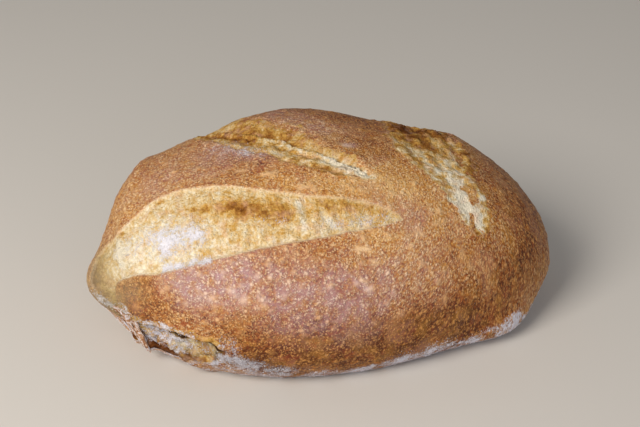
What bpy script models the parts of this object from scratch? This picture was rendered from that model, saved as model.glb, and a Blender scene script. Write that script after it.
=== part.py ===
"""A sourdough loaf, as one closed solid.

It is a hand-shaped oval hearth loaf of about 1 kg: a domed crown over a drawn-in foot, three scores that
opened in the oven, a blunt crease round its nose and a torn seam at the foot.

The loaf lies along X, with its nose at -X and its tail at +X. Its front is at -Y and its base is flat on
z = 0, with the origin under the middle of its bounding box. Its form is worked out for directions on a unit
sphere: an oval crown and foot, then soft swells, then the relief of the cuts along the surface's normals.
"""
import itertools
import math
from dataclasses import dataclass

import bmesh
import bpy
import numpy as np

MM = 0.001

# Driving dimensions, in metres
NOSE_REACH = 0.1335
TAIL_REACH = 0.144
FRONT_REACH = 0.082
BACK_REACH = 0.1035
GIRTH_HEIGHT = 0.031
CROWN_RISE = 0.083
FOOT_DROP = 0.050

# The squareness of an upright cut: 2 is an ellipse, and more is boxier
CROWN_SQUARENESS = 2.13
FOOT_SQUARENESS = 2.12
# How far the loaf leans towards its nose for each metre of height
LEAN = 0.09

# The crust chart unrolls the crust about its top: chart millimetres for each radian from the top
CHART_ALONG = 140.0
CHART_ACROSS = 95.0

SPHERE_CUTS = 71
TARGET_TRIANGLES = 9600
NOISE_CELLS = 32
SPINE_SAMPLES = 120
# The step over the sphere that measures a normal, and how upright a direction is before it is steep
NORMAL_STEP = 0.001
STEEP = 0.9
# How the scores open, in chart millimetres
EDGE_RUN = 2.0
LIP_RUN = 6.0
LEAST_HALF_WIDTH = 0.5
FULL_DEPTH_HALF_WIDTH = 9.0

CRUST_COLOUR = (0.42, 0.20, 0.075, 1.0)
CRUST_ROUGHNESS = 0.62


@dataclass(frozen=True)
class Swell:
    """A soft rise or hollow of the crust, round one direction from the middle of the loaf.

    azimuth and tilt are degrees from +X and from the top, spread is degrees, and rise is millimetres.
    """

    azimuth: float
    tilt: float
    spread: float
    rise: float


SWELLS = (
    Swell(195, 80, 12, 7.0),
    Swell(205, 98, 12, -5.5),
    Swell(180, 100, 15, -1.0),
    Swell(228, 96, 15, -1.0),
    Swell(255, 100, 16, 2.5),
    Swell(285, 100, 16, -1.5),
    Swell(315, 95, 18, -3.0),
    Swell(318, 112, 8, 5.0),
    Swell(328, 116, 8, 4.0),
    Swell(10, 78, 18, 1.0),
    Swell(35, 62, 16, 2.5),
    Swell(28, 43, 8, 4.5),
    Swell(42, 50, 7, 1.0),
    Swell(20, 60, 8, 1.0),
    Swell(60, 48, 13, -1.5),
    Swell(85, 40, 13, 8.0),
    Swell(110, 38, 13, 3.0),
    Swell(150, 55, 12, 7.5),
    Swell(165, 70, 14, -3.5),
    Swell(200, 45, 20, -1.0),
    Swell(190, 80, 6, 2.5),
    Swell(196, 96, 7, -3.5),
    Swell(172, 84, 7, -3.5),
)


@dataclass(frozen=True)
class Score:
    """A cut in the crust that opened in the oven.

    stations run along the cut on the crust chart, as (along, across, half width) in millimetres. section
    is the torn dough's height across the cut, as (place from -1 front to 1 back, millimetres). The lips are
    the rise of the crust's two edges. drift moves the section's middle towards the back along the cut, as
    a share of the half width. crag is the height of the torn lumps, and lump is their size along and
    across the cut.
    """

    stations: tuple
    section: tuple
    front_lip: float
    back_lip: float
    drift: float
    crag: float
    lump: tuple
    seed: int


SCORES = (
    Score(
        stations=((-194, -64, 8), (-178, -44, 14), (-160, -35, 17), (-140, -38, 19), (-118, -40, 27),
                  (-92, -42, 30), (-59, -50, 26), (-38, -55, 21), (-11, -60, 16), (12, -61, 12),
                  (30, -62, 8.5), (42, -63, 4), (47, -64, 1)),
        section=((-1.0, -0.5), (-0.92, -1.8), (-0.4, -1.6), (0.2, -1.2), (0.7, -1.0), (0.93, -0.9),
                 (1.0, -0.3)),
        front_lip=0.9, back_lip=0.6, drift=0.0, crag=0.7, lump=(5.0, 9.0), seed=11,
    ),
    Score(
        stations=((-78, 80, 1), (-66, 66, 10), (-52, 51, 16), (-36, 35, 18), (-23, 22, 20), (-12, 13, 19),
                  (-1, -2, 17), (10, -12, 14), (21, -22, 10), (34, -34, 1)),
        section=((-1.0, 0.0), (-0.93, 0.5), (-0.86, 0.0), (-0.7, -1.6), (-0.56, -0.9), (-0.48, 0.6),
                 (-0.4, -1.2), (-0.28, -4.8), (-0.05, -3.2), (0.3, -1.0), (0.7, 0.2), (1.0, 0.0)),
        front_lip=0.9, back_lip=0.8, drift=0.7, crag=0.7, lump=(8.0, 3.0), seed=23,
    ),
    Score(
        stations=((68, 92, 1), (72, 74, 12), (76, 56, 18), (76, 38, 21), (76, 5, 24), (78, -8, 22),
                  (80, -17, 18), (83, -28, 12), (86, -38, 12), (91, -46, 11), (96, -54, 10), (101, -61, 7),
                  (106, -68, 1)),
        section=((-1.0, 0.3), (-0.85, 0.8), (-0.6, 0.0), (-0.1, -1.3), (0.3, -0.4), (0.8, -0.7), (1.0, 0.0)),
        front_lip=0.8, back_lip=0.8, drift=0.0, crag=1.3, lump=(8.0, 4.0), seed=37,
    ),
)

# The crease where the first score turns down over the nose, on the crust chart
NOSE_CREASE = ((-137, -20), (-143, -33), (-148, -45), (-154, -58))
CREASE_RISE = 1.6
CREASE_WIDTH = 4.0

# The torn seam at the front of the foot: stations as (x, height of its upper lip, height of its lower edge)
SEAM_STATIONS = ((-126, 46, 24), (-118, 41, 19), (-110, 37, 15), (-98, 36, 13), (-86, 35, 13), (-75, 33, 17),
                 (-66, 30, 25))
SEAM_DEPTH = 5.5
SEAM_FLOOR = 1.0
# How far the lip wanders and how rough the pocket is, in millimetres, with the size of their lumps in metres
SEAM_WANDER = 1.5
SEAM_WANDER_LUMP = 0.005
SEAM_RUBBLE = 1.0
SEAM_RUBBLE_LUMP = 0.004
SEAM_SEED = 51
SEAM_LIP = 1.2
SEAM_LIP_RUN = 7.0
SEAM_EDGE_RUN = 2.5
SEAM_END_RUN = 8.0
# Strips of crust that hang over the seam's nose end, each as (x, height) of its top and of its foot
FLAKES = (((-121, 46), (-112, 8)), ((-116, 47), (-106, 7)), ((-112, 40), (-104, 20)))
FLAKE_RISE = 3.5
FLAKE_WIDTH = 1.8


def unit(vectors):
    """Scale vectors to a length of one."""
    return vectors / np.linalg.norm(vectors, axis=1, keepdims=True)


def smooth_step(values):
    """Run from 0 to 1 smoothly as the values run from 0 to 1."""
    held = np.clip(values, 0.0, 1.0)
    return held * held * (3.0 - 2.0 * held)


def noise(points, cell, seed):
    """Give smooth random values from -1 to 1 at the points, for lumps of the cell's size."""
    table = np.random.default_rng(seed).uniform(-1.0, 1.0, (NOISE_CELLS,) * 3)
    place = points / np.asarray(cell)
    corner = np.floor(place).astype(int)
    part = smooth_step(place - corner)
    value = np.zeros(len(points))
    for step in itertools.product((0, 1), repeat=3):
        weight = np.prod(np.where(step, part, 1.0 - part), axis=1)
        index = (corner + step) % NOISE_CELLS
        value += weight * table[index[:, 0], index[:, 1], index[:, 2]]
    return value


def smooth_line(stations, samples):
    """Sample a smooth curve through the stations, each row holding a place and its widths."""
    rows = np.asarray(stations, dtype=float)
    rows = np.vstack([2 * rows[0] - rows[1], rows, 2 * rows[-1] - rows[-2]])
    spans = len(rows) - 3
    place = np.linspace(0.0, spans, samples)
    start = np.minimum(place.astype(int), spans - 1)
    t = (place - start)[:, None]
    p0, p1, p2, p3 = (rows[start + k] for k in range(4))
    linear = (p2 - p0) * t
    square = (2 * p0 - 5 * p1 + 4 * p2 - p3) * t**2
    cube = (3 * p1 - p0 - 3 * p2 + p3) * t**3
    return 0.5 * (2 * p1 + linear + square + cube)


def plain_form(directions):
    """Place directions on the plain oval loaf, in metres, without its flat base."""
    x, y, z = directions.T
    upper = z > 0
    squareness = np.where(upper, CROWN_SQUARENESS, FOOT_SQUARENESS)
    out = (np.hypot(x, y) ** squareness + np.abs(z) ** squareness) ** (-1.0 / squareness)
    height = GIRTH_HEIGHT + np.where(upper, CROWN_RISE, FOOT_DROP) * z * out
    along = np.where(x < 0, NOSE_REACH, TAIL_REACH) * x * out - LEAN * height
    across = np.where(y < 0, FRONT_REACH, BACK_REACH) * y * out
    return np.column_stack([along, across, height])


def form_normals(directions):
    """Find the plain form's outward normals from two short steps over it."""
    steep = np.abs(directions[:, 2:3]) > STEEP
    helper = np.where(steep, np.array([[1.0, 0.0, 0.0]]), np.array([[0.0, 0.0, 1.0]]))
    first = unit(np.cross(helper, directions))
    second = np.cross(directions, first)
    first, second = NORMAL_STEP * first, NORMAL_STEP * second
    run_first = plain_form(unit(directions + first)) - plain_form(unit(directions - first))
    run_second = plain_form(unit(directions + second)) - plain_form(unit(directions - second))
    return unit(np.cross(run_first, run_second))


def swell_heights(directions):
    """Add up the soft swells, in millimetres."""
    heights = np.zeros(len(directions))
    for swell in SWELLS:
        azimuth = math.radians(swell.azimuth)
        tilt = math.radians(swell.tilt)
        flat = math.sin(tilt)
        middle = np.array([flat * math.cos(azimuth), flat * math.sin(azimuth), math.cos(tilt)])
        angle = np.arccos(np.clip(directions @ middle, -1.0, 1.0))
        heights += swell.rise * np.exp(-0.5 * (angle / math.radians(swell.spread)) ** 2)
    return heights


def crust_chart(directions):
    """Unroll directions to the crust chart, in millimetres along and across the loaf."""
    tilt = np.arccos(np.clip(directions[:, 2], -1.0, 1.0))
    azimuth = np.arctan2(directions[:, 1], directions[:, 0])
    return np.column_stack([CHART_ALONG * tilt * np.cos(azimuth), CHART_ACROSS * tilt * np.sin(azimuth)])


def along_and_off(chart, line):
    """Find each chart point's nearest sample of a line, its run along the line and its offset from it."""
    gaps = np.hypot(chart[:, None, 0] - line[None, :, 0], chart[:, None, 1] - line[None, :, 1])
    nearest = gaps.argmin(axis=1)
    tangent = np.gradient(line[:, :2], axis=0)
    offset = chart - line[nearest, :2]
    side = np.sign(tangent[nearest, 0] * offset[:, 1] - tangent[nearest, 1] * offset[:, 0])
    run = np.concatenate([[0.0], np.cumsum(np.hypot(*np.diff(line[:, :2], axis=0).T))])
    return nearest, run[nearest], side * gaps[np.arange(len(chart)), nearest]


def score_relief(score, chart):
    """Give one opened score's relief, in millimetres: torn dough inside it and lips along it."""
    line = smooth_line(score.stations, SPINE_SAMPLES)
    nearest, run, offset = along_and_off(chart, line)
    half = np.maximum(line[nearest, 2], LEAST_HALF_WIDTH)
    place = offset / half
    beyond = np.abs(offset) - half
    inside = smooth_step(0.5 - beyond / EDGE_RUN)
    depth = np.minimum(half / FULL_DEPTH_HALF_WIDTH, 1.0)
    torn = np.column_stack([run, offset, np.zeros(len(run))])
    lumps = noise(torn, (*score.lump, 1.0), score.seed)
    drifted = place - score.drift * run / run.max() * np.maximum(1.0 - place**2, 0.0)
    heights = np.interp(drifted, *zip(*score.section)) + score.crag * lumps
    lip = np.where(place < 0, score.front_lip, score.back_lip) * np.exp(-np.maximum(beyond, 0.0) / LIP_RUN)
    return depth * (inside * heights + (1.0 - inside) * lip)


def crease_relief(chart):
    """Give the rise of the crease round the nose, in millimetres."""
    line = smooth_line(NOSE_CREASE, SPINE_SAMPLES)
    _, _, offset = along_and_off(chart, line)
    return CREASE_RISE * np.exp(-0.5 * (offset / CREASE_WIDTH) ** 2)


def seam_relief(points):
    """Give the torn seam's relief, in millimetres: a pocket under a lip, low on the front of the nose."""
    stations = smooth_line(SEAM_STATIONS, SPINE_SAMPLES)
    x = points[:, 0] / MM
    z = points[:, 2] / MM
    upper = np.interp(x, stations[:, 0], stations[:, 1])
    lower = np.interp(x, stations[:, 0], stations[:, 2])
    upper += SEAM_WANDER * noise(points, SEAM_WANDER_LUMP, SEAM_SEED)
    first, last = stations[0, 0], stations[-1, 0]
    ends = smooth_step((x - first) / SEAM_END_RUN) * smooth_step((last - x) / SEAM_END_RUN)
    front = points[:, 1] < 0
    height = np.clip((z - lower) / (upper - lower), 0.0, 1.0)
    pocket = smooth_step((upper - z) / SEAM_EDGE_RUN) * smooth_step((z - lower) / (2 * SEAM_EDGE_RUN))
    rubble = SEAM_RUBBLE * noise(points, SEAM_RUBBLE_LUMP, SEAM_SEED + 1)
    floor = SEAM_FLOOR + (SEAM_DEPTH - SEAM_FLOOR) * height + rubble
    above = smooth_step((z - upper) / SEAM_EDGE_RUN)
    lip = SEAM_LIP * np.exp(-np.maximum(z - upper, 0.0) / SEAM_LIP_RUN) * above
    return np.where(front, ends * (lip - pocket * floor), 0.0)


def flake_relief(points):
    """Give the rise of the crust strips that hang over the seam's nose end, in millimetres."""
    x = points[:, 0] / MM
    z = points[:, 2] / MM
    rise = np.zeros(len(points))
    for (top_x, top_z), (foot_x, foot_z) in FLAKES:
        middle = foot_x + (top_x - foot_x) * (z - foot_z) / (top_z - foot_z)
        ends = smooth_step((z - foot_z) / SEAM_END_RUN) * smooth_step((top_z - z) / SEAM_END_RUN)
        rise = np.maximum(rise, ends * np.exp(-0.5 * ((x - middle) / FLAKE_WIDTH) ** 2))
    return np.where(points[:, 1] < 0, FLAKE_RISE * rise, 0.0)


def loaf_points(directions):
    """Place directions on the finished crust, in metres, with the base flat at z = 0."""
    chart = crust_chart(directions)
    normals = form_normals(directions)
    swollen = plain_form(directions) + normals * swell_heights(directions)[:, None] * MM
    relief = crease_relief(chart) + seam_relief(swollen) + flake_relief(swollen)
    for score in SCORES:
        relief += score_relief(score, chart)
    points = swollen + normals * relief[:, None] * MM
    points[:, 2] = np.maximum(points[:, 2], 0.0)
    return points


def make_loaf():
    """Build the loaf's mesh from an evenly cut cube blown up to a sphere."""
    shape = bmesh.new()
    bmesh.ops.create_cube(shape, size=2.0)
    bmesh.ops.subdivide_edges(shape, edges=shape.edges[:], cuts=SPHERE_CUTS, use_grid_fill=True)
    cube = np.array([vertex.co[:] for vertex in shape.verts])
    points = loaf_points(unit(np.tan(cube * math.pi / 4)))
    low, high = points.min(axis=0), points.max(axis=0)
    points -= [(low[0] + high[0]) / 2, (low[1] + high[1]) / 2, 0.0]
    for vertex, point in zip(shape.verts, points):
        vertex.co = point
    mesh = bpy.data.meshes.new("loaf")
    shape.to_mesh(mesh)
    shape.free()
    mesh.shade_smooth()
    return mesh


def crust_material():
    """Make the crust's plain material."""
    material = bpy.data.materials.new("browned crust")
    material.use_nodes = True
    shader = material.node_tree.nodes["Principled BSDF"]
    shader.inputs["Base Color"].default_value = CRUST_COLOUR
    shader.inputs["Roughness"].default_value = CRUST_ROUGHNESS
    shader.inputs["Metallic"].default_value = 0.0
    return material


def main():
    """Clear the scene and add the loaf."""
    for thing in list(bpy.data.objects):
        bpy.data.objects.remove(thing, do_unlink=True)
    mesh = make_loaf()
    mesh.materials.append(crust_material())
    loaf = bpy.data.objects.new("loaf", mesh)
    bpy.context.scene.collection.objects.link(loaf)
    fewer = loaf.modifiers.new("fewer faces", "DECIMATE")
    fewer.decimate_type = "COLLAPSE"
    fewer.use_collapse_triangulate = True
    fewer.ratio = TARGET_TRIANGLES / (2 * len(mesh.polygons))


main()
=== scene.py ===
"""The looks of a sourdough loaf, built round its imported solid.

The loaf is a hand-shaped oval hearth loaf of about 1 kg. One fine mesh replaces the plain solid: it has the
same form, worked out from the same sizes, with blisters, torn crumb and ragged edges added. Thin shards of
dough hang over the torn seam at its foot, and loose grains of flour cling where the crust is dusted.
"""
import itertools
import logging
import math
from dataclasses import dataclass, field
from enum import Enum

import bmesh
import bpy
import numpy as np
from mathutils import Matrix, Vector
from mathutils.kdtree import KDTree


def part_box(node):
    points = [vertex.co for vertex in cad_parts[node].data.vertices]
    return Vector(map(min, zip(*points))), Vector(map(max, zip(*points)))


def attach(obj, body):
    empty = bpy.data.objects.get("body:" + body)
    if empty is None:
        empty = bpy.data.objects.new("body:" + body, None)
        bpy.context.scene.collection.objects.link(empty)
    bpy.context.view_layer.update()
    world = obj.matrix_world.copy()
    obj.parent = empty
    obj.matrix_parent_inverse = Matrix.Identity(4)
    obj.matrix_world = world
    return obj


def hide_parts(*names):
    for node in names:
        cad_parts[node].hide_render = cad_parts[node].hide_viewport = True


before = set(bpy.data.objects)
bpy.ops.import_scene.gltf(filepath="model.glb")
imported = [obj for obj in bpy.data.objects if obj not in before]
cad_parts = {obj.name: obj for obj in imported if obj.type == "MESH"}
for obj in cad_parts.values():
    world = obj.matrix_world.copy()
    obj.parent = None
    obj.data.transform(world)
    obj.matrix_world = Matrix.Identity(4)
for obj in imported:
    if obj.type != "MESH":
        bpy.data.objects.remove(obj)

LOG = logging.getLogger("loaf")
MM = 0.001
NODE = "loaf"
BODY = "root"
PHOTO_WIDTH = 640
PHOTO_HEIGHT = 427
NOISE_CELLS = 32
SPINE_SAMPLES = 120
LEAST_HALF_WIDTH = 0.5
NORMAL_STEP = 0.001
STEEP = 0.9
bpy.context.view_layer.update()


def unit(vectors: np.ndarray) -> np.ndarray:
    """Scale each row to a length of one."""
    return vectors / np.linalg.norm(vectors, axis=1, keepdims=True)


def smooth_step(values: np.ndarray) -> np.ndarray:
    """Run from 0 to 1 smoothly as the values run from 0 to 1."""
    held = np.clip(values, 0.0, 1.0)
    return held * held * (3.0 - 2.0 * held)


def bell(values: np.ndarray, width: float) -> np.ndarray:
    """Fall from 1 where the values are zero towards 0 on both sides, along a bell curve."""
    return np.exp(-0.5 * (values / width) ** 2)


def band(values: np.ndarray, low: np.ndarray | float, high: np.ndarray | float, rise: float,
         fall: float) -> np.ndarray:
    """Give 1 between two limits and 0 outside them.

    Args:
        values: The values to look at.
        low: The lower limit.
        high: The upper limit.
        rise: How far above the lower limit the full amount is reached.
        fall: How far below the upper limit the full amount ends.

    Returns:
        One amount for each value, from 0 to 1.
    """
    return smooth_step((values - low) / rise) * smooth_step((high - values) / fall)


def noise(points: np.ndarray, size: float | tuple[float, ...], seed: int) -> np.ndarray:
    """Give smooth random values from -1 to 1.

    Args:
        points: The places, each a row of two or three numbers.
        size: The size of the lumps, in the points' own unit.
        seed: The seed of the random table.

    Returns:
        One value for each point.
    """
    table = np.random.default_rng(seed).uniform(-1.0, 1.0, (NOISE_CELLS,) * 3)
    place = np.zeros((len(points), 3))
    place[:, :points.shape[1]] = points / np.asarray(size)
    corner = np.floor(place).astype(int)
    part = smooth_step(place - corner)
    value = np.zeros(len(points))
    for step in itertools.product((0, 1), repeat=3):
        weight = np.prod(np.where(step, part, 1.0 - part), axis=1)
        index = (corner + step) % NOISE_CELLS
        value += weight * table[index[:, 0], index[:, 1], index[:, 2]]
    return value


def lumpy(points: np.ndarray, layers: tuple, seed: int = 0) -> np.ndarray:
    """Add up noises of several sizes.

    Args:
        points: The places, one row each.
        layers: Each noise's strength, the size of its lumps and the number that it adds to the seed.
        seed: The seed that the numbers are added to.

    Returns:
        One value for each point.
    """
    return sum(strength * noise(points, size, seed + number) for strength, size, number in layers)


def smooth_line(stations: tuple, samples: int) -> np.ndarray:
    """Sample a smooth curve through stations.

    Args:
        stations: The rows that it runs through, each a place and its widths.
        samples: How many rows to give.

    Returns:
        The sampled rows.
    """
    rows = np.asarray(stations, dtype=float)
    rows = np.vstack([2 * rows[0] - rows[1], rows, 2 * rows[-1] - rows[-2]])
    spans = len(rows) - 3
    place = np.linspace(0.0, spans, samples)
    start = np.minimum(place.astype(int), spans - 1)
    t = (place - start)[:, None]
    p0, p1, p2, p3 = (rows[start + k] for k in range(4))
    linear = (p2 - p0) * t
    square = (2 * p0 - 5 * p1 + 4 * p2 - p3) * t**2
    cube = (3 * p1 - p0 - 3 * p2 + p3) * t**3
    return 0.5 * (2 * p1 + linear + square + cube)


def run_along(line: np.ndarray) -> np.ndarray:
    """Measure how far along a line each of its samples lies."""
    return np.concatenate([[0.0], np.cumsum(np.hypot(*np.diff(line[:, :2], axis=0).T))])


def locate(chart: np.ndarray, line: np.ndarray) -> tuple[np.ndarray, np.ndarray]:
    """Find where chart points lie along a line and beside it.

    Args:
        chart: The points on the crust chart.
        line: The line's samples, whose first two columns are its place.

    Returns:
        Each point's run along the line, and its offset to the line's left.
    """
    gaps = np.hypot(chart[:, None, 0] - line[None, :, 0], chart[:, None, 1] - line[None, :, 1])
    nearest = gaps.argmin(axis=1)
    tangent = unit(np.gradient(line[:, :2], axis=0))[nearest]
    reach = chart - line[nearest, :2]
    along = run_along(line)[nearest] + np.sum(reach * tangent, axis=1)
    return along, tangent[:, 0] * reach[:, 1] - tangent[:, 1] * reach[:, 0]


def linear_colour(hexadecimal: str) -> tuple[float, float, float, float]:
    """Turn an sRGB hex value to a linear colour with alpha."""
    parts = [int(hexadecimal[i:i + 2], 16) / 255 for i in (1, 3, 5)]
    return (*(p / 12.92 if p <= 0.04045 else ((p + 0.055) / 1.055) ** 2.4 for p in parts), 1.0)


def add_node(tree: bpy.types.NodeTree, kind: str, inputs: dict | tuple = (), stops: tuple = (),
             **settings: object) -> bpy.types.Node:
    """Add a node with its settings and links.

    Args:
        tree: The tree that gets the node.
        kind: The node's type, without ShaderNode in front.
        inputs: What its inputs get, by name or number, or in their order: a value, a hex colour, a socket,
            or a node, which gives its first socket in use.
        stops: A ramp's stops, as (place, hex colour), from low to high.
        settings: The node's own settings.

    Returns:
        The new node.
    """
    node = tree.nodes.new("ShaderNode" + kind)
    for name, value in settings.items():
        setattr(node, name, value)
    for key, value in (inputs if isinstance(inputs, dict) else dict(enumerate(inputs))).items():
        if isinstance(value, bpy.types.Node):
            value = next(output for output in value.outputs if output.enabled)
        if isinstance(value, bpy.types.NodeSocket):
            tree.links.new(value, node.inputs[key])
        else:
            node.inputs[key].default_value = linear_colour(value) if isinstance(value, str) else value
    if stops:
        ramp = node.color_ramp
        ramp.elements[0].position = stops[0][0]
        ramp.elements[1].position = stops[-1][0]
        for place, _ in stops[1:-1]:
            ramp.elements.new(place)
        for element, (_, colour) in zip(ramp.elements, stops):
            element.color = linear_colour(colour)
    return node


def start_material(name: str) -> bpy.types.Material:
    """Start a material whose node tree is still empty."""
    material = bpy.data.materials.new(name)
    material.use_nodes = True
    material.node_tree.nodes.clear()
    return material


def show(name: str, data: bpy.types.Mesh | bpy.types.Light | bpy.types.Camera) -> bpy.types.Object:
    """Place a mesh, a light or a camera in the scene as an object."""
    shown = bpy.data.objects.new(name, data)
    bpy.context.scene.collection.objects.link(shown)
    return shown


def vertex_rows(mesh: bpy.types.Mesh, name: str) -> np.ndarray:
    """Read the mesh's places or normals, one row for each corner."""
    rows = np.empty(len(mesh.vertices) * 3)
    mesh.vertices.foreach_get(name, rows)
    return rows.reshape(-1, 3)


class Side(Enum):
    """The two long edges of a score."""

    FRONT = -1
    BACK = 1


@dataclass(frozen=True)
class Swell:
    """A soft rise of the crust, in millimetres, round a direction given in degrees from +X and the top."""

    azimuth: float
    tilt: float
    spread: float
    rise: float


@dataclass(frozen=True)
class Stroke:
    """A soft brush stroke on the crust chart, in millimetres, and how much it adds along its middle."""

    start: tuple[float, float]
    end: tuple[float, float]
    width: float
    amount: float


def painted(chart: np.ndarray, strokes: tuple[Stroke, ...]) -> np.ndarray:
    """Add up soft strokes at the chart points."""
    total = np.zeros(len(chart))
    for stroke in strokes:
        start = np.array(stroke.start, dtype=float)
        reach = np.array(stroke.end) - start
        share = np.clip((chart - start) @ reach / (reach @ reach), 0.0, 1.0)
        gap = np.linalg.norm(chart - start - share[:, None] * reach, axis=1)
        total += stroke.amount * bell(gap, stroke.width)
    return total


@dataclass(frozen=True)
class Score:
    """A cut in the crust that opened in the oven.

    stations run along the cut on the crust chart, as (along, across, half width) in millimetres. section is
    the torn dough's height across the cut, as (place from -1 front to 1 back, millimetres). lips are the
    rises of the crust beside it, and fades are the widths over which its colour gives way to the crust's.
    drift moves the section's middle towards the back along the cut. crag is the height of the torn lumps,
    and lump is their size along and across the cut. browning is how far the torn dough browned across the
    cut, as (place, amount from 0 to 1), and broken is how unevenly. ragged is how far its lines wander, in
    millimetres. wander, uneven and frayed are the noises of its lines, its browning and its edge, as lumpy
    takes them.
    """

    stations: tuple
    section: tuple
    lips: dict
    fades: dict
    drift: float
    crag: float
    lump: tuple
    browning: tuple
    broken: float
    ragged: float
    seed: int
    edge_run: float = 2.0
    lip_run: float = 6.0
    full_depth_half_width: float = 9.0
    wander: tuple = ((0.6, 7.0, 1), (0.4, 2.5, 2))
    uneven: tuple = ((0.6, 5.0, 3), (0.6, 2.6, 4))
    frayed: tuple = ((1.0, 4.0, 5), (1.0, 2.2, 6))

    def spread(self, chart: np.ndarray) -> tuple[np.ndarray, np.ndarray, np.ndarray]:
        """Lay the chart points out along the cut.

        Args:
            chart: The points on the crust chart.

        Returns:
            Each point's share of the way along the cut, its offset from the middle and the half width there.
        """
        line = smooth_line(self.stations, SPINE_SAMPLES)
        run = run_along(line)
        along, offset = locate(chart, line)
        half = np.maximum(np.interp(along, run, line[:, 2]), LEAST_HALF_WIDTH)
        past = np.maximum(along - run[-1], 0.0) + np.maximum(-along, 0.0)
        offset += self.ragged * lumpy(chart, self.wander, self.seed)
        return along / run[-1], np.sign(offset) * np.hypot(offset, past), half

    def across(self, share: np.ndarray, offset: np.ndarray, half: np.ndarray) -> np.ndarray:
        """Give the points' places across the section, from -1 at the front to 1 at the back."""
        place = offset / half
        return place - self.drift * share * np.maximum(1.0 - place**2, 0.0)

    def toasted(self, chart: np.ndarray, place: np.ndarray) -> np.ndarray:
        """Give how far the torn dough browned at the chart points."""
        return np.interp(place, *zip(*self.browning)) + self.broken * lumpy(chart, self.uneven, self.seed)

    def relief(self, chart: np.ndarray) -> np.ndarray:
        """Give the torn dough's and the lips' relief, in millimetres."""
        share, offset, half = self.spread(chart)
        length = run_along(smooth_line(self.stations, SPINE_SAMPLES))[-1]
        beyond = np.abs(offset) - half
        inside = smooth_step(0.5 - beyond / self.edge_run)
        depth = np.minimum(half / self.full_depth_half_width, 1.0)
        lumps = noise(np.column_stack([share * length, offset]), self.lump, self.seed)
        heights = np.interp(self.across(share, offset, half), *zip(*self.section)) + self.crag * lumps
        lip = np.where(offset < 0, self.lips[Side.FRONT], self.lips[Side.BACK])
        lip = lip * np.exp(-np.maximum(beyond, 0.0) / self.lip_run)
        return depth * (inside * heights + (1.0 - inside) * lip)


@dataclass(frozen=True)
class Seam:
    """The torn seam at the front of the foot, a pocket under a ragged lip, with hanging flakes.

    stations are (x, height of the gap under the lip, height of the lower edge) in millimetres, and flakes
    are the top and foot of each hanging strip as (x, height). ragged and rubble are the noises of the lip's
    line and of the pocket's floor, as lumpy takes them.
    """

    stations: tuple = ((-126, 46, 24), (-118, 41, 19), (-110, 37, 15), (-98, 36, 13), (-86, 35, 13),
                       (-75, 33, 17), (-66, 30, 25))
    depth: float = 5.5
    floor: float = 1.0
    ragged: tuple = ((1.5, 5.0, 51), (0.6, 2.2, 53))
    rubble: tuple = ((1.9, 4.0, 52), (1.14, 1.9, 54))
    lip: float = 1.2
    lip_run: float = 7.0
    edge_run: float = 1.0
    foot_run: float = 5.0
    end_run: float = 6.0
    flakes: tuple = (((-121, 46), (-112, 8)), ((-116, 47), (-106, 7)), ((-112, 40), (-104, 20)))
    flake_rise: float = 3.5
    flake_width: float = 1.8

    def edges(self, places: np.ndarray) -> tuple[np.ndarray, np.ndarray, np.ndarray]:
        """Find the seam's upper lip and lower edge above or below each place.

        Args:
            places: Places on the loaf, in millimetres.

        Returns:
            The lip's height and the lower edge's height in millimetres, and how far the seam is open, 0 to 1.
        """
        x, y, _ = places.T
        line = smooth_line(self.stations, SPINE_SAMPLES).T
        upper = np.interp(x, line[0], line[1]) + lumpy(places, self.ragged)
        ends = band(x, line[0, 0], line[0, -1], self.end_run, self.end_run)
        return upper, np.interp(x, line[0], line[2]), np.where(y < 0, ends, 0.0)

    def relief(self, places: np.ndarray) -> np.ndarray:
        """Give the pocket's, the lip's and the flakes' relief, in millimetres."""
        upper, lower, ends = self.edges(places)
        x, y, z = places.T
        height = np.clip((z - lower) / (upper - lower), 0.0, 1.0)
        pocket = band(z, lower, upper, self.foot_run, self.edge_run)
        floor = self.floor + (self.depth - self.floor) * height + lumpy(places, self.rubble)
        lip = self.lip * np.exp(-np.maximum(z - upper, 0.0) / self.lip_run)
        lip *= smooth_step((z - upper) / self.edge_run)
        rise = np.zeros(len(places))
        for (top_x, top_z), (foot_x, foot_z) in self.flakes:
            middle = foot_x + (top_x - foot_x) * (z - foot_z) / (top_z - foot_z)
            shown = band(z, foot_z, top_z, self.end_run, self.end_run)
            rise = np.maximum(rise, shown * bell(x - middle, self.flake_width))
        return ends * (lip - pocket * floor) + np.where(y < 0, self.flake_rise * rise, 0.0)


SWELLS = (
    Swell(195, 80, 12, 7.0),
    Swell(205, 98, 12, -5.5),
    Swell(180, 100, 15, -1.0),
    Swell(228, 96, 15, -1.0),
    Swell(255, 100, 16, 2.5),
    Swell(285, 100, 16, -1.5),
    Swell(315, 95, 18, -3.0),
    Swell(318, 112, 8, 5.0),
    Swell(328, 116, 8, 4.0),
    Swell(10, 78, 18, 1.0),
    Swell(35, 62, 16, 2.5),
    Swell(28, 43, 8, 4.5),
    Swell(42, 50, 7, 1.0),
    Swell(20, 60, 8, 1.0),
    Swell(60, 48, 13, -1.5),
    Swell(85, 40, 13, 8.0),
    Swell(110, 38, 13, 3.0),
    Swell(150, 55, 12, 7.5),
    Swell(165, 70, 14, -3.5),
    Swell(200, 45, 20, -1.0),
    Swell(190, 80, 6, 2.5),
    Swell(196, 96, 7, -3.5),
    Swell(172, 84, 7, -3.5),
)

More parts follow.
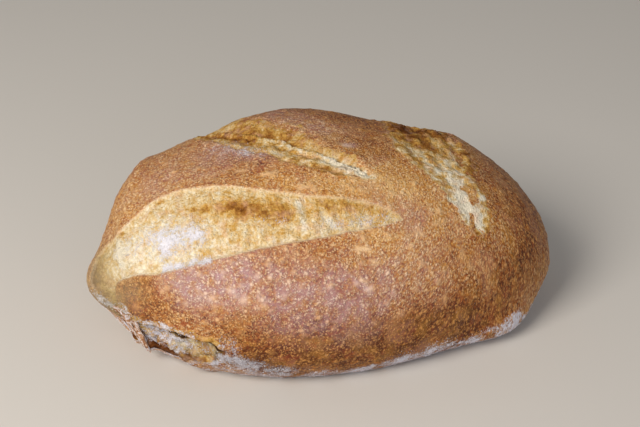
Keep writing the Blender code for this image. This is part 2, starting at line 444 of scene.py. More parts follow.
LONG_SCORE = Score(
    stations=((-194, -64, 8), (-178, -44, 14), (-160, -35, 17), (-140, -38, 19), (-118, -40, 27),
              (-92, -42, 30), (-59, -50, 26), (-38, -55, 21), (-11, -60, 16), (12, -61, 12),
              (30, -62, 8.5), (42, -63, 4), (47, -64, 1)),
    section=((-1.0, -0.5), (-0.92, -1.8), (-0.4, -1.6), (0.2, -1.2), (0.7, -1.0), (0.93, -0.9), (1.0, -0.3)),
    lips={Side.FRONT: 0.9, Side.BACK: 0.6}, fades={Side.FRONT: 0.6, Side.BACK: 1.2},
    drift=0.0, crag=0.5, lump=(5.0, 9.0),
    browning=((-1.0, 0.22), (1.0, 0.28)), broken=0.08, ragged=0.7, seed=11,
)
TOP_SCORE = Score(
    stations=((-78, 80, 1), (-66, 66, 10), (-52, 51, 16), (-36, 35, 18), (-23, 22, 20), (-12, 13, 19),
              (-1, -2, 17), (10, -12, 14), (21, -22, 10), (34, -34, 1)),
    section=((-1.0, 0.0), (-0.93, 0.5), (-0.86, 0.0), (-0.7, -1.6), (-0.56, -0.9), (-0.48, 0.6),
             (-0.4, -1.2), (-0.28, -4.8), (-0.05, -3.2), (0.3, -1.0), (0.7, 0.2), (1.0, 0.0)),
    lips={Side.FRONT: 0.9, Side.BACK: 0.8}, fades={Side.FRONT: 4.5, Side.BACK: 9.0},
    drift=0.7, crag=0.5, lump=(8.0, 2.6),
    browning=((-1.0, 0.62), (-0.95, 0.34), (-0.85, 0.42), (-0.65, 0.46), (-0.52, 0.14), (-0.44, 0.46),
              (-0.30, 0.74), (-0.1, 0.52), (0.3, 0.44), (1.0, 0.46)),
    broken=0.20, ragged=1.8, seed=23,
)
TAIL_SCORE = Score(
    stations=((68, 92, 1), (72, 74, 12), (76, 56, 18), (76, 38, 21), (76, 5, 24), (78, -8, 22),
              (80, -17, 18), (83, -28, 12), (86, -38, 12), (91, -46, 11), (96, -54, 10), (101, -61, 7),
              (106, -68, 1)),
    section=((-1.0, 0.3), (-0.85, 0.8), (-0.6, 0.0), (-0.1, -1.3), (0.3, -0.4), (0.8, -0.7), (1.0, 0.0)),
    lips={Side.FRONT: 0.8, Side.BACK: 0.8}, fades={Side.FRONT: 3.5, Side.BACK: 14.0},
    drift=0.0, crag=1.0, lump=(6.0, 3.2),
    browning=((-1.0, 0.50), (-0.88, 0.36), (-0.6, 0.62), (0.2, 0.46), (0.6, 0.54), (1.0, 0.66)),
    broken=0.32, ragged=3.0, seed=37, full_depth_half_width=24.0,
)


@dataclass
class LoafForm:
    """The loaf's form on a unit sphere of directions, with the sizes of its solid, in metres."""

    nose_reach: float = 0.1335
    tail_reach: float = 0.144
    front_reach: float = 0.082
    back_reach: float = 0.1035
    girth_height: float = 0.031
    crown_rise: float = 0.083
    foot_drop: float = 0.050
    crown_squareness: float = 2.13
    foot_squareness: float = 2.12
    lean: float = 0.09
    chart_along: float = 140.0
    chart_across: float = 95.0
    nose_crease: tuple = ((-137, -20), (-143, -33), (-148, -45), (-154, -58))
    crease_rise: float = 1.6
    crease_width: float = 4.0
    scores: tuple = (LONG_SCORE, TOP_SCORE, TAIL_SCORE)
    seam: Seam = field(default_factory=Seam)

    def plain(self, directions: np.ndarray) -> np.ndarray:
        """Place directions on the plain oval loaf, without its flat base."""
        x, y, z = directions.T
        upper = z > 0
        squareness = np.where(upper, self.crown_squareness, self.foot_squareness)
        out = (np.hypot(x, y) ** squareness + np.abs(z) ** squareness) ** (-1.0 / squareness)
        height = self.girth_height + np.where(upper, self.crown_rise, self.foot_drop) * z * out
        along = np.where(x < 0, self.nose_reach, self.tail_reach) * x * out - self.lean * height
        across = np.where(y < 0, self.front_reach, self.back_reach) * y * out
        return np.column_stack([along, across, height])

    def normals(self, directions: np.ndarray) -> np.ndarray:
        """Find the plain form's outward normals from two short steps over it."""
        steep = np.abs(directions[:, 2:3]) < STEEP
        helper = np.where(steep, np.array([[0.0, 0.0, 1.0]]), np.array([[1.0, 0.0, 0.0]]))
        first = unit(np.cross(helper, directions))
        second = np.cross(directions, first)
        steps = (NORMAL_STEP * first, NORMAL_STEP * second)
        runs = [self.plain(unit(directions + step)) - self.plain(unit(directions - step)) for step in steps]
        return unit(np.cross(*runs))

    def chart(self, directions: np.ndarray) -> np.ndarray:
        """Unroll directions to the crust chart, in millimetres along and across the loaf."""
        tilt = np.arccos(np.clip(directions[:, 2], -1.0, 1.0))
        azimuth = np.arctan2(directions[:, 1], directions[:, 0])
        return np.column_stack([self.chart_along * tilt * np.cos(azimuth),
                                self.chart_across * tilt * np.sin(azimuth)])

    def swollen(self, directions: np.ndarray) -> np.ndarray:
        """Place directions on the loaf with its soft swells, before the cuts."""
        heights = np.zeros(len(directions))
        for swell in SWELLS:
            azimuth, tilt = math.radians(swell.azimuth), math.radians(swell.tilt)
            flat = math.sin(tilt)
            middle = np.array([flat * math.cos(azimuth), flat * math.sin(azimuth), math.cos(tilt)])
            angle = np.arccos(np.clip(directions @ middle, -1.0, 1.0))
            heights += swell.rise * bell(angle, math.radians(swell.spread))
        return self.plain(directions) + self.normals(directions) * heights[:, None] * MM

    def relief(self, chart: np.ndarray, swollen: np.ndarray) -> np.ndarray:
        """Give the relief that the solid has too: the scores, the nose's crease and the seam."""
        _, offset = locate(chart, smooth_line(self.nose_crease, SPINE_SAMPLES))
        crease = self.crease_rise * bell(offset, self.crease_width)
        return crease + self.seam.relief(swollen / MM) + sum(score.relief(chart) for score in self.scores)


@dataclass(frozen=True)
class CrustFinish:
    """Bread crust of wheat sourdough, baked with steam on a hot stone.

    The steam gives it a faint gloss over a golden to red-brown skin, full of pale gas blisters. Where the
    scores tore open the dough is cream, rough and matt, and toasted on its ridges. Dry flour is white. Its
    grains are finer than a tenth of a millimetre, too fine to show, so they are drawn coarser.

    Sizes are in millimetres. mottles are (size, strength), and a tint is (colour, size, then the noise
    where a patch starts and is full, and how much the tint adds there from and to). Specks, pores and
    flour_specks are (spacing, share of places that hold one, least and largest radius as shares of the
    spacing). The other ranges are (from least, from most, to least, to most).
    """

    crust_stops: tuple = ((0.0, "#DEB478"), (0.25, "#CA924C"), (0.5, "#A96B32"), (0.75, "#86471C"),
                          (1.0, "#582A0E"))
    torn_stops: tuple = ((0.0, "#EDE4CE"), (0.22, "#DBC497"), (0.45, "#C79B50"), (0.7, "#9E6B30"),
                         (1.0, "#683A16"))
    speck: str = "#F2D2A4"
    baked_speck: str = "#D09450"
    # The pinkish bloom's colour, also a painted sheen where the cool light would reflect, and the specks'
    # colour under it
    bloom_and_sheen: str = "#AE8688"
    speck_in_bloom_and_sheen: str = "#EED8CE"
    flour: str = "#DFDFEB"
    # A dull greenish grey, partly the dough's own tone and partly painted shade, and the dark brown of
    # painted shade and shadow
    dull_and_shade: str = "#9C9272"
    shade: str = "#2E160A"
    blush: str = "#D8AE92"
    rim: str = "#E8D4B8"
    pore: str = "#4A2412"
    roughness: tuple = (0.0, 1.0, 0.50, 0.88)
    gloss: tuple = (0.0, 1.0, 0.19, 0.08)
    coat: tuple = (0.0, 1.0, 0.05, 0.0)
    coat_roughness: float = 0.32
    mottles: tuple = ((17.0, 0.22), (6.0, 0.36), (2.4, 0.95), (1.1, 1.45))
    tints: tuple = (("#C48C3A", 11.0, 0.48, 0.62, 0.0, 0.34), ("#9A4A2C", 7.0, 0.54, 0.65, 0.0, 0.42),
                    ("#B98468", 14.0, 0.52, 0.66, 0.0, 0.40))
    tint_apart: float = 10.0
    bloom_and_sheen_mm: float = 7.0
    bloom_and_sheen_patches: tuple = (0.38, 0.60, 0.35, 1.35)
    warp_mm: float = 1.1111
    warp: tuple = (1.5, 1.5, 1.5)
    specks: tuple = ((1.5, 0.95, 0.22, 0.42), (2.6, 0.42, 0.18, 0.38), (5.0, 0.16, 0.16, 0.31))
    spot_edge: tuple = (-0.12, 0.16)
    dust_mm: float = 1.25
    dust: tuple = (0.52, 0.67, 0.0, 0.85)
    dome_paleness: float = 0.6
    speck_veil: float = 0.80
    speck_browning: tuple = (0.40, 0.85)
    pores: tuple = (2.9, 0.3, 0.12, 0.28)
    pore_darkness: float = 0.35
    crumb_mm: float = 2.0
    cloud_mm: float = 6.0
    strand_mm: tuple = (2.2, 9.0)
    strand_toast: float = 0.5
    cloud_toast: float = 0.4
    crumb_toast: float = 0.9
    toast_middle: float = 0.9
    blushing: tuple = (0.5, 0.7, 0.0, 0.4)
    edge_fray: float = 0.9
    tear_edge: tuple = (0.82, 1.08)
    flour_grain_mm: float = 1.4
    flour_specks: tuple = (1.1, 1.0, 0.25, 0.42)
    flour_speck_strength: float = 0.16
    flour_strength: float = 0.6
    dusting: tuple = (0.71, 1.01, 0.0, 0.95)
    crumb_height: float = 1.5
    speck_height: float = 0.6
    flour_height: float = 0.4
    bump_mm: float = 0.60

    def spots(self, tree: bpy.types.NodeTree, skin: bpy.types.Node | bpy.types.NodeSocket, size_mm: float,
              share: float, least: float, most: float) -> bpy.types.Node:
        """Draw round spots of varied size.

        Args:
            tree: The material's tree.
            skin: The place on the skin, in millimetres.
            size_mm: The spacing of the spots.
            share: The share of places that hold one.
            least: The smallest spot's radius, as a share of the spacing.
            most: The largest spot's radius, as a share of the spacing.

        Returns:
            The spots, from 0 to 1.
        """
        cells = add_node(tree, "TexVoronoi", {"Vector": skin, "Scale": 1 / size_mm})
        chance = add_node(tree, "SeparateColor", (cells.outputs["Color"],))
        radius = add_node(tree, "MapRange", (chance, 1 - share, 1.0, least, most), clamp=False)
        inner = add_node(tree, "Math", (radius, cells), operation="SUBTRACT")
        spot = add_node(tree, "MapRange", (inner, *self.spot_edge), interpolation_type="SMOOTHSTEP")
        here = add_node(tree, "Math", (chance, 1 - share), operation="GREATER_THAN")
        return add_node(tree, "Math", (spot, here), operation="MULTIPLY")

    def browned_skin(self, tree: bpy.types.NodeTree, values: dict) -> bpy.types.Node:
        """Colour the skin from golden to dark brown, with the painted shade in its browning, in mottles of
        several sizes with tinted patches.

        Args:
            tree: The material's tree.
            values: The mesh's painted values, by name.

        Returns:
            The skin's colour, without its bloom and specks.
        """
        skin = values["skin"]
        level = values["bake_and_shade"]
        for size_mm, strength in self.mottles:
            mottle = add_node(tree, "TexNoise", {"Vector": skin, "Scale": 1 / size_mm, "Detail": 2.0})
            level = add_node(tree, "Math", (mottle, strength, level), operation="MULTIPLY_ADD")
        average = 0.5 * sum(strength for _, strength in self.mottles)
        centred = add_node(tree, "Math", (level, average), operation="SUBTRACT")
        brown = add_node(tree, "ValToRGB", (centred,), self.crust_stops)
        for number, (tint, size_mm, *patch) in enumerate(self.tints):
            patches = add_node(tree, "TexNoise", {
                "Vector": skin, "W": self.tint_apart * number, "Scale": 1 / size_mm, "Detail": 4.0,
                "Roughness": 0.6,
            }, noise_dimensions="4D")
            share = add_node(tree, "MapRange", (patches, *patch))
            brown = add_node(tree, "Mix", {0: share, 6: brown, 7: tint}, data_type="RGBA")
        return brown

    def skin_layers(self, tree: bpy.types.NodeTree, values: dict) -> tuple[bpy.types.Node, bpy.types.Node]:
        """Lay a pinkish bloom that also serves as a painted sheen, pale specks and dark pores over the
        browned skin.

        Args:
            tree: The material's tree.
            values: The mesh's painted values, by name.

        Returns:
            The skin's colour and the pale specks, which stand up.
        """
        skin = values["skin"]
        brown = self.browned_skin(tree, values)
        # A pinkish bloom in patches, which also paints the soft sheen of the cool light on the crust
        drift = add_node(tree, "TexNoise", {"Vector": skin, "Scale": 1 / self.bloom_and_sheen_mm, "Detail": 5.0,
                                            "Roughness": 0.65})
        patchy = add_node(tree, "MapRange", (drift, *self.bloom_and_sheen_patches))
        bloom_and_sheen = add_node(tree, "Math", (values["bloom_and_sheen"], patchy), operation="MULTIPLY", use_clamp=True)
        with_bloom_and_sheen = add_node(tree, "Mix", {0: bloom_and_sheen, 6: brown, 7: self.bloom_and_sheen}, data_type="RGBA")

        # Fine dust and round specks in bent places, under the mesh's own blisters
        shift = add_node(tree, "TexNoise", {"Vector": skin, "Scale": 1 / self.warp_mm, "Detail": 2.0})
        bent = add_node(tree, "VectorMath", (shift.outputs["Color"], self.warp, skin),
                        operation="MULTIPLY_ADD")
        dust = add_node(tree, "TexNoise", {"Vector": skin, "Scale": 1 / self.dust_mm, "Detail": 2.0,
                                           "Roughness": 0.6})
        dusty = add_node(tree, "MapRange", (dust, *self.dust))
        domes = add_node(tree, "Math", (values["blister"], self.dome_paleness), operation="MULTIPLY")
        raised = add_node(tree, "Math", (dusty, domes), operation="MAXIMUM")
        for speck in self.specks:
            raised = add_node(tree, "Math", (self.spots(tree, bent, *speck), raised), operation="MAXIMUM")
        veil = add_node(tree, "Math", (raised, self.speck_veil), operation="MULTIPLY")
        browning = add_node(tree, "MapRange", (values["bake_and_shade"], *self.speck_browning))
        speck = add_node(tree, "Mix", {0: browning, 6: self.speck, 7: self.baked_speck}, data_type="RGBA")
        speck = add_node(tree, "Mix", {0: bloom_and_sheen, 6: speck, 7: self.speck_in_bloom_and_sheen}, data_type="RGBA")
        spotted = add_node(tree, "Mix", {0: veil, 6: with_bloom_and_sheen, 7: speck}, data_type="RGBA")
        pores = self.spots(tree, bent, *self.pores)
        dim = add_node(tree, "Math", (pores, self.pore_darkness), operation="MULTIPLY")
        return add_node(tree, "Mix", {0: dim, 6: spotted, 7: self.pore}, data_type="RGBA"), raised

    def torn_layers(self, tree: bpy.types.NodeTree, values: dict, crumb: bpy.types.Node) -> bpy.types.Node:
        """Colour the torn dough, whose strands, clouds and crumb move how far it is toasted.

        Args:
            tree: The material's tree.
            values: The mesh's painted values, by name.
            crumb: The fine pattern of the crumb.

        Returns:
            The torn dough's colour.
        """
        scale = (1 / self.strand_mm[0], 1 / self.strand_mm[1], 1.0)
        drawn_out = add_node(tree, "VectorMath", (values["tear"], scale), operation="MULTIPLY")
        strand = add_node(tree, "TexNoise", {"Vector": drawn_out, "Scale": 1.0, "Detail": 3.0})
        clouds = add_node(tree, "TexNoise", {"Vector": values["skin"], "Scale": 1 / self.cloud_mm,
                                             "Detail": 2.0})
        toast = values["toast"]
        for pattern, strength in ((strand, self.strand_toast), (clouds, self.cloud_toast),
                                  (crumb, self.crumb_toast)):
            toast = add_node(tree, "Math", (pattern, strength, toast), operation="MULTIPLY_ADD")
        centred = add_node(tree, "Math", (toast, self.toast_middle), operation="SUBTRACT")
        browned = add_node(tree, "ValToRGB", (centred,), self.torn_stops)
        tint = add_node(tree, "SeparateColor", (clouds.outputs["Color"],))
        blushing = add_node(tree, "MapRange", (tint.outputs["Blue"], *self.blushing))
        return add_node(tree, "Mix", {0: blushing, 6: browned, 7: self.blush}, data_type="RGBA")

    def flour_layer(self, tree: bpy.types.NodeTree, values: dict) -> bpy.types.Node:
        """Give how far dry flour covers the crust, in grains that thin out as the painted amount falls."""
        skin = values["skin"]
        grain = add_node(tree, "TexNoise", {"Vector": skin, "Scale": 1 / self.flour_grain_mm, "Detail": 4.0,
                                            "Roughness": 0.85})
        specks = self.spots(tree, skin, *self.flour_specks)
        grains = add_node(tree, "Math", (specks, self.flour_speck_strength, grain), operation="MULTIPLY_ADD")
        amount = add_node(tree, "Math", (values["flour"], self.flour_strength, grains),
                          operation="MULTIPLY_ADD")
        return add_node(tree, "MapRange", (amount, *self.dusting), interpolation_type="SMOOTHSTEP")

    def material(self) -> bpy.types.Material:
        """Make the crust's material, which reads the loaf's painted values."""
        material = start_material("baked_crust")
        tree = material.node_tree
        outputs = {"skin": "Vector", "tear": "Vector"}
        names = ("skin", "tear", "bake_and_shade", "bloom_and_sheen", "blister", "toast", "open", "rim", "flour", "dull_and_shade", "shade")
        values = {name: add_node(tree, "Attribute", attribute_name=name).outputs[outputs.get(name, "Fac")]
                  for name in names}
        crumb = add_node(tree, "TexNoise", {"Vector": values["skin"], "Scale": 1 / self.crumb_mm,
                                            "Detail": 3.0, "Roughness": 0.65})
        colour, raised = self.skin_layers(tree, values)

        # The tear gives way to the crust along a ragged edge, with a thin pale line where the skin was cut
        ragged = add_node(tree, "Math", (crumb, self.edge_fray, values["open"]), operation="MULTIPLY_ADD")
        opened = add_node(tree, "MapRange", (ragged, *self.tear_edge), interpolation_type="SMOOTHSTEP")
        dusted = self.flour_layer(tree, values)
        # Over the skin lie the torn dough, the cut's pale line, flour, the dull tone that is partly painted
        # shade, and painted shade and shadow
        layers = ((opened, self.torn_layers(tree, values, crumb)), (values["rim"], self.rim),
                  (dusted, self.flour), (values["dull_and_shade"], self.dull_and_shade), (values["shade"], self.shade))
        for share, over in layers:
            colour = add_node(tree, "Mix", {0: share, 6: colour, 7: over}, data_type="RGBA")

        # Torn and floured places are drier than the crust, so rougher, with less gloss and no coat
        dryness = add_node(tree, "Math", (opened, dusted), operation="MAXIMUM")
        roughness, gloss, coat = (add_node(tree, "MapRange", (dryness, *dry))
                                  for dry in (self.roughness, self.gloss, self.coat))
        height = 0.0
        for pattern, strength in ((crumb, self.crumb_height), (raised, self.speck_height),
                                  (dusted, self.flour_height)):
            height = add_node(tree, "Math", (pattern, strength, height), operation="MULTIPLY_ADD")
        bump = add_node(tree, "Bump", {"Height": height, "Distance": self.bump_mm * MM, "Strength": 1.0})
        shader = add_node(tree, "BsdfPrincipled", {
            "Base Color": colour, "Roughness": roughness, "Normal": bump, "Coat Weight": coat,
            "Coat Roughness": self.coat_roughness, "Specular IOR Level": gloss,
        })
        add_node(tree, "OutputMaterial", (shader,))
        return material


def dry_surface(material: bpy.types.Material, colour: bpy.types.Node | str,
                roughness: float) -> bpy.types.Material:
    """Give a material a dry surface of one roughness, with no pattern but its colour's."""
    shader = add_node(material.node_tree, "BsdfPrincipled", {"Base Color": colour, "Roughness": roughness})
    add_node(material.node_tree, "OutputMaterial", (shader,))
    return material


@dataclass(frozen=True)
class ShardFinish:
    """Dried dough of the thin shards at the seam, in noisy patches from brown to flour-white."""

    grain_mm: float = 2.2222
    stops: tuple = ((0.30, "#7C4C2A"), (0.45, "#B08664"), (0.54, "#CDBDB6"), (0.66, "#E0DAE2"))
    roughness: float = 0.9

    def material(self) -> bpy.types.Material:
        """Make the shards' material."""
        material = start_material("dry_dough_shard")
        tree = material.node_tree
        place = add_node(tree, "TexCoord").outputs["Object"]
        scale = 1 / (self.grain_mm * MM)
        grain = add_node(tree, "TexNoise", {"Vector": place, "Scale": scale, "Detail": 3.0})
        return dry_surface(material, add_node(tree, "ValToRGB", (grain,), self.stops), self.roughness)


@dataclass(frozen=True)
class FlourFinish:
    """Loose dry flour: a matt, faintly cool white on the warm crust, too fine to show a pattern."""

    colour: str = "#EFECF2"
    roughness: float = 0.95

    def material(self) -> bpy.types.Material:
        """Make the flour's material."""
        return dry_surface(start_material("dry_flour"), self.colour, self.roughness)


@dataclass(frozen=True)
class PaperFinish:
    """Matt studio paper: a plain pale grey that shows nothing but the loaf's soft shadow."""

    colour: str = "#D0CECB"
    roughness: float = 0.9

    def material(self) -> bpy.types.Material:
        """Make the paper's material."""
        return dry_surface(start_material("matt_paper"), self.colour, self.roughness)


@dataclass
class CrustShell:
    """The loaf's fine crust, one closed mesh that takes the plain solid's place.

    bake_and_shade, bloom_and_sheen, closed, toast, flour, marks, dull_and_shade, shade and crags are brush
    strokes on the crust chart. bake_and_shade is how far the skin browned, with painted shade that darkens it
    low at the front and under the foot. bloom_and_sheen is where it has a pinkish bloom, with a painted sheen
    where the cool light would reflect. closed is where skin is left inside a score, with amounts under zero
    where the dough tore further. toast is how far the torn dough browned, flour is where dry flour lies, and
    marks are single pale blisters. dull_and_shade is a dull greenish tone, partly the dough's own and partly
    painted shade towards the nose. shade is painted shade and shadow in a fold and on the flour at the foot
    and low on the nose, and crags is where the torn dough is craggy.

    flour_line is the height up to which the foot is floured, as (x, height) in millimetres. waves,
    torn_lumps, crag_lumps, patches and crumbs are noises in millimetres, as lumpy takes them. The bands of
    the seam are (start, end, rise, fall) in millimetres from the edges that they lie between, as band takes
    them.
    """

    form: LoafForm
    finish: CrustFinish
    cuts: int = 127
    focus: tuple = (-0.10, -0.28, 0.30)
    blisters: int = 1050
    blister_radius: tuple = (1.2, 2.8)
    blister_rise: float = 0.55
    strand_rise: float = 0.55
    seed: int = 5
    bake_level: float = 0.50
    floured_to: float = -84.0
    # Browning strokes; the darker ones low at the front and under the foot are painted shade
    bake_and_shade: tuple = (
        Stroke((150, -110), (165, 40), 35, 0.32), Stroke((-70, -168), (120, -160), 28, 0.52),
        Stroke((-85, -122), (-20, -132), 10, 0.10), Stroke((-25, -148), (60, -148), 14, 0.16),
        Stroke((70, -125), (120, -125), 12, 0.20), Stroke((14, -70), (44, -82), 9, -0.20),
        Stroke((-165, -56), (-135, -66), 8, 0.24), Stroke((94, -30), (97, -40), 5, -0.34),
        Stroke((-172, -68), (-138, -88), 7, 0.20), Stroke((-122, -92), (-100, -108), 8, 0.08),
        Stroke((106, -56), (128, -64), 9, -0.16), Stroke((-45, 5), (-5, -25), 9, 0.14),
        Stroke((-90, -4), (-70, -8), 8, -0.10), Stroke((4, 30), (20, 20), 7, -0.14),
        Stroke((58, -70), (84, -86), 9, 0.10), Stroke((40, 4), (46, -4), 8, 0.08),
        Stroke((54, 4), (60, -10), 6, -0.12), Stroke((45, -108), (45, -124), 8, -0.09),
        Stroke((-50, -80), (0, -90), 9, 0.10), Stroke((-115, -140), (-50, -160), 10, 0.26),
        Stroke((95, -112), (105, -128), 7, 0.10), Stroke((128, -110), (140, -125), 9, -0.16),
        Stroke((-15, -32), (35, -40), 12, -0.22), Stroke((28, 14), (40, -6), 7, 0.06),
        Stroke((45, -40), (68, -60), 15, -0.24), Stroke((75, -94), (105, -104), 12, -0.08),
        Stroke((64, -112), (84, -118), 8, -0.16), Stroke((-125, 5), (-125, -5), 14, -0.18),
        Stroke((-5, 62), (45, 40), 16, 0.20), Stroke((38, 38), (66, 6), 12, 0.12),
        Stroke((-210, -40), (-150, -130), 14, 0.30), Stroke((-130, -75), (-80, -110), 12, 0.06),
        Stroke((-90, 135), (110, 150), 26, 0.34), Stroke((10, 85), (60, 95), 22, 0.20),
        Stroke((-140, 60), (-110, 95), 20, 0.16),
    )
    # Bloom strokes, which also paint a sheen of the cool light, broadest on the front
    bloom_and_sheen: tuple = (
        Stroke((-105, -78), (-62, -88), 12, 0.62), Stroke((-35, -100), (34, -110), 14, 0.44),
        Stroke((8, -105), (20, -112), 6, 0.20), Stroke((36, -58), (58, -62), 8, 0.28),
        Stroke((24, 3), (28, 2), 1.8, 0.80), Stroke((-104, -90), (-76, -100), 11, 0.26),
        Stroke((50, -84), (70, -98), 11, 0.12), Stroke((-95, 5), (-50, 10), 18, 0.25),
        Stroke((-8, 46), (14, 22), 8, 0.34), Stroke((-50, 18), (-25, 2), 8, 0.30),
        Stroke((60, -95), (80, -110), 10, 0.08), Stroke((-45, -120), (15, -130), 12, 0.36),
        Stroke((-60, 95), (-10, 115), 20, 0.45), Stroke((95, 60), (120, 80), 18, 0.35),
    )
    closed: tuple = (
        Stroke((95, -32), (97, -38), 2.8, 0.9), Stroke((97, -65), (96, -53), 2.2, 0.9),
        Stroke((-24, 42), (24, -4), 6, 0.38), Stroke((95, -20), (104, -36), 2.5, -0.7),
        Stroke((104, -36), (101, -50), 2.5, -0.7), Stroke((101, -50), (106, -58), 3.5, -0.5),
    )
    toast: tuple = (
        Stroke((-76, -36), (-46, -44), 4, 0.20), Stroke((-50, -46), (-22, -56), 5, 0.32),
        Stroke((-34, -50), (-18, -57), 5, 0.08), Stroke((-172, -6), (-178, -30), 6, 0.30),
        Stroke((-150, -18), (-152, -46), 6, 0.08), Stroke((-42, 40), (-20, 28), 5, 0.12),
        Stroke((-178, -24), (-186, -60), 13, 0.30), Stroke((-192, -18), (-200, -55), 9, 0.34),
        Stroke((-99, -14), (-97, -14), 1.0, 0.45), Stroke((-137, -20), (-135, -21), 1.2, 0.50),
        Stroke((-140, -26), (-150, -52), 1.8, -0.30), Stroke((-12, -50), (-12, -67), 1.5, -0.26),
        Stroke((0, -55), (3, -63), 1.5, -0.18), Stroke((-225, -100), (-165, -152), 8, 0.45),
        Stroke((-140, -128), (-122, -140), 9, 0.20), Stroke((0, -54), (34, -57), 5, 0.20),
        Stroke((-118, -14), (-60, -20), 6, -0.06), Stroke((5, -6), (30, -26), 6, -0.08),
        Stroke((86, -2), (94, -42), 7, -0.24), Stroke((14, -18), (36, -37), 6, -0.34),
        Stroke((50, 36), (85, 30), 4, 0.40), Stroke((82, -24), (92, -54), 6, -0.44),
        Stroke((91, -44), (104, -58), 5, -0.46), Stroke((64, 28), (78, 10), 5, 0.26),
        Stroke((-62, 50), (-32, 22), 4, 0.34), Stroke((-150, -36), (-100, -50), 13, -0.18),
        Stroke((74, 12), (96, 0), 6, -0.10), Stroke((98, -62), (104, -66), 3, 0.16),
        Stroke((61, 6), (72, -19), 3.2, -0.34), Stroke((56, 26), (61, 16), 4.0, 0.16),
        Stroke((96, -20), (104, -36), 3.5, -0.36), Stroke((104, -38), (102, -50), 3.0, -0.36),
        Stroke((96, -34), (98, -40), 3, 0.35),
    )
    flour: tuple = (
        Stroke((-106, -50), (-80, -54), 8, 0.52), Stroke((-115, -66), (-78, -74), 2.5, 0.60),
        Stroke((-140, -34), (-96, -44), 13, 0.34), Stroke((-42, -56), (-24, -60), 3, 0.36),
        Stroke((2, -66), (38, -64), 5, 0.36), Stroke((90, -44), (92, -52), 2.5, 0.25),
        Stroke((-192, -38), (-190, -76), 4.5, 0.74), Stroke((-50, 20), (-28, 0), 7, 0.40),
        Stroke((4, -6), (22, -16), 1.5, 0.30), Stroke((-180, -98), (-148, -122), 10, 0.16),
        Stroke((-116, -142), (-80, -160), 9, 0.26),
    )
    marks: tuple = (
        Stroke((18, -84), (25, -84), 1.3, 1.5), Stroke((23, -110), (26, -109), 1.5, 1.4),
        Stroke((-127, -78), (-125, -78), 1.2, 1.4), Stroke((-74, -96), (-71, -96), 1.5, 1.2),
        Stroke((-68, -105), (-65, -104), 1.8, 1.2), Stroke((-91, -97), (-88, -97), 1.5, 1.2),
        Stroke((-54, -107), (-52, -107), 1.3, 1.2), Stroke((90, -80), (91, -84), 1.4, 1.2),
        Stroke((98, -87), (100, -91), 1.3, 1.1), Stroke((84, -113), (86, -117), 1.4, 1.1),
        Stroke((-43, -13), (-38, -14), 1.2, 1.2), Stroke((-28, -22), (-21, -22), 1.3, 1.3),
        Stroke((-8, -39), (-4, -39), 1.2, 1.2), Stroke((22, 3), (26, 1), 1.3, 1.3),
        Stroke((27, -92), (29, -92), 1.2, 1.1), Stroke((56, -72), (60, -73), 1.3, 1.1),
    )
    # Dull greenish tone towards the nose, partly painted shade where the nose turns from the light
    dull_and_shade: tuple = (
        Stroke((-168, -24), (-182, -60), 10, 0.62), Stroke((-148, -66), (-165, -60), 6, 0.25),
        Stroke((-144, -24), (-150, -50), 9, 0.20), Stroke((-150, -74), (-112, -86), 14, 0.06),
        Stroke((-196, -20), (-204, -58), 10, 0.50),
    )
    # Painted shade: a thin fold at the foot, the flour patch at the foot and low on the nose
    shade: tuple = (
        Stroke((-148, -151), (-124, -136), 1.0, 0.45), Stroke((-114, -144), (-76, -166), 11, 0.42),
        Stroke((-172, -72), (-160, -88), 7, 0.14),
    )
    flour_line: tuple = ((-140, 44), (-133, 38), (-126, 30), (-118, 18), (-110, 10), (-76, 10), (-70, 38),
                         (-52, 35), (-42, 26), (-25, 14), (-8, 12), (22, 15), (45, 18), (71, 18), (91, 16),
                         (103, 21), (114, 24), (140, 18))
    back_flour_line: float = 13.0
    flour_line_wander: float = 0.5
    crags: tuple = (
        Stroke((60, 48), (94, 20), 8, 1.0), Stroke((70, 10), (92, -20), 9, 0.6),
        Stroke((-30, 14), (26, -24), 4, 0.6),
    )
    crag_lumps: tuple = ((0.9, 3.2, 67), (0.6, 1.7, 68))
    waves: tuple = ((0.30, 11.0, 61), (0.18, 4.5, 62), (0.10, 2.4, 63))
    torn_lumps: tuple = ((0.35, 4.5, 65), (0.40, 2.2, 66))
    patches: tuple = ((0.45, 4.0, 73), (0.35, 1.8, 77))
    crumbs: tuple = ((0.35, 4.0, 74), (0.35, 2.0, 75))
    strand_lump: tuple = (3.0, 8.0, 1.0)
    strands_from: float = 60.0
    strands_run: float = 100.0
    tear_length: float = 200.0
    tear_apart: float = 50.0
    cut_line_inset: float = 0.3
    cut_line_width: float = 0.5
    cut_line: float = 0.6
    pocket_band: tuple = (-1.0, 0.5, 2.0, 1.0)
    lip_band: tuple = (0.0, 5.5, 1.0, 2.0)
    gap_band: tuple = (-5.7, 0.8, 1.3, 0.8)
    rim_band: tuple = (-3.5, 1.2, 1.5, 1.2)
    strip_height: float = 6.0
    skin_drawn_out: float = 0.45

    def directions(self) -> tuple[bmesh.types.BMesh, np.ndarray]:
        """Cut a cube evenly, blow it up to a sphere and crowd it towards the front and the top.

        Returns:
            The cube's mesh, and the direction of each of its corners.
        """
        shape = bmesh.new()
        bmesh.ops.create_cube(shape, size=2.0)
        bmesh.ops.subdivide_edges(shape, edges=shape.edges[:], cuts=self.cuts, use_grid_fill=True)
        cube = np.array([vertex.co[:] for vertex in shape.verts])
        return shape, unit(unit(np.tan(cube * math.pi / 4)) + np.array(self.focus))

